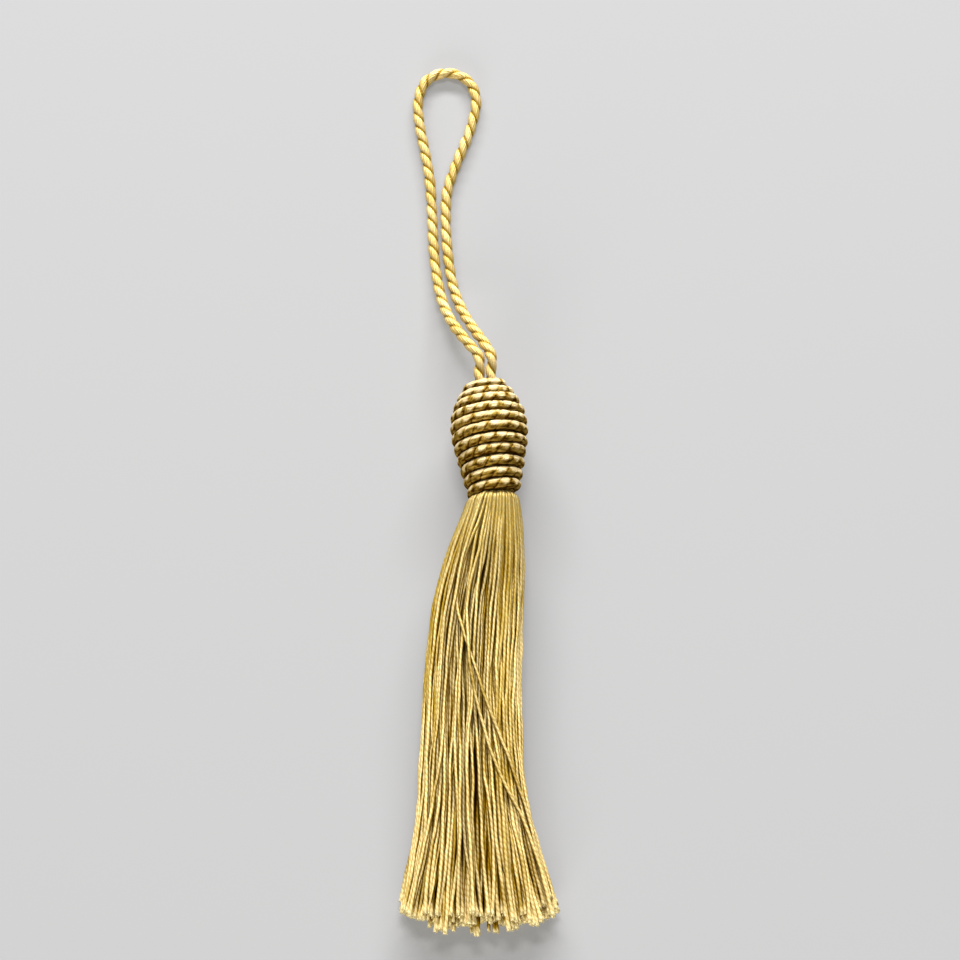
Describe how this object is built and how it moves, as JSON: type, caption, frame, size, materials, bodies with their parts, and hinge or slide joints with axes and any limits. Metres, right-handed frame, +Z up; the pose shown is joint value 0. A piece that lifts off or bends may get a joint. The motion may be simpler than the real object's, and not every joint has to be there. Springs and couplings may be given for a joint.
{
  "type": "silk tassel",
  "caption": "Gold silk tassel lying flat: an egg-shaped head wound with twisted cord, a skirt of loose threads and a hanging loop.",
  "frame": {"origin": "on the surface the tassel lies on, under the middle of the head and skirt", "axes": "+Z up from the surface; +Y along the tassel, from the trimmed thread ends towards the loop; +X across it"},
  "size_m": [0.0218, 0.1327, 0.0111],
  "materials": {
    "wound_cord": "lustrous gold twisted cord, dark between the turns",
    "skirt_threads": "lustrous gold two-ply threads with fluffed cut ends",
    "loop_cord": "lustrous gold two-ply twisted cord"
  },
  "bodies": {
    "root": {"head_winding": "wound_cord", "skirt": "skirt_threads", "hanging_loop": "loop_cord"}
  },
  "joints": []
}
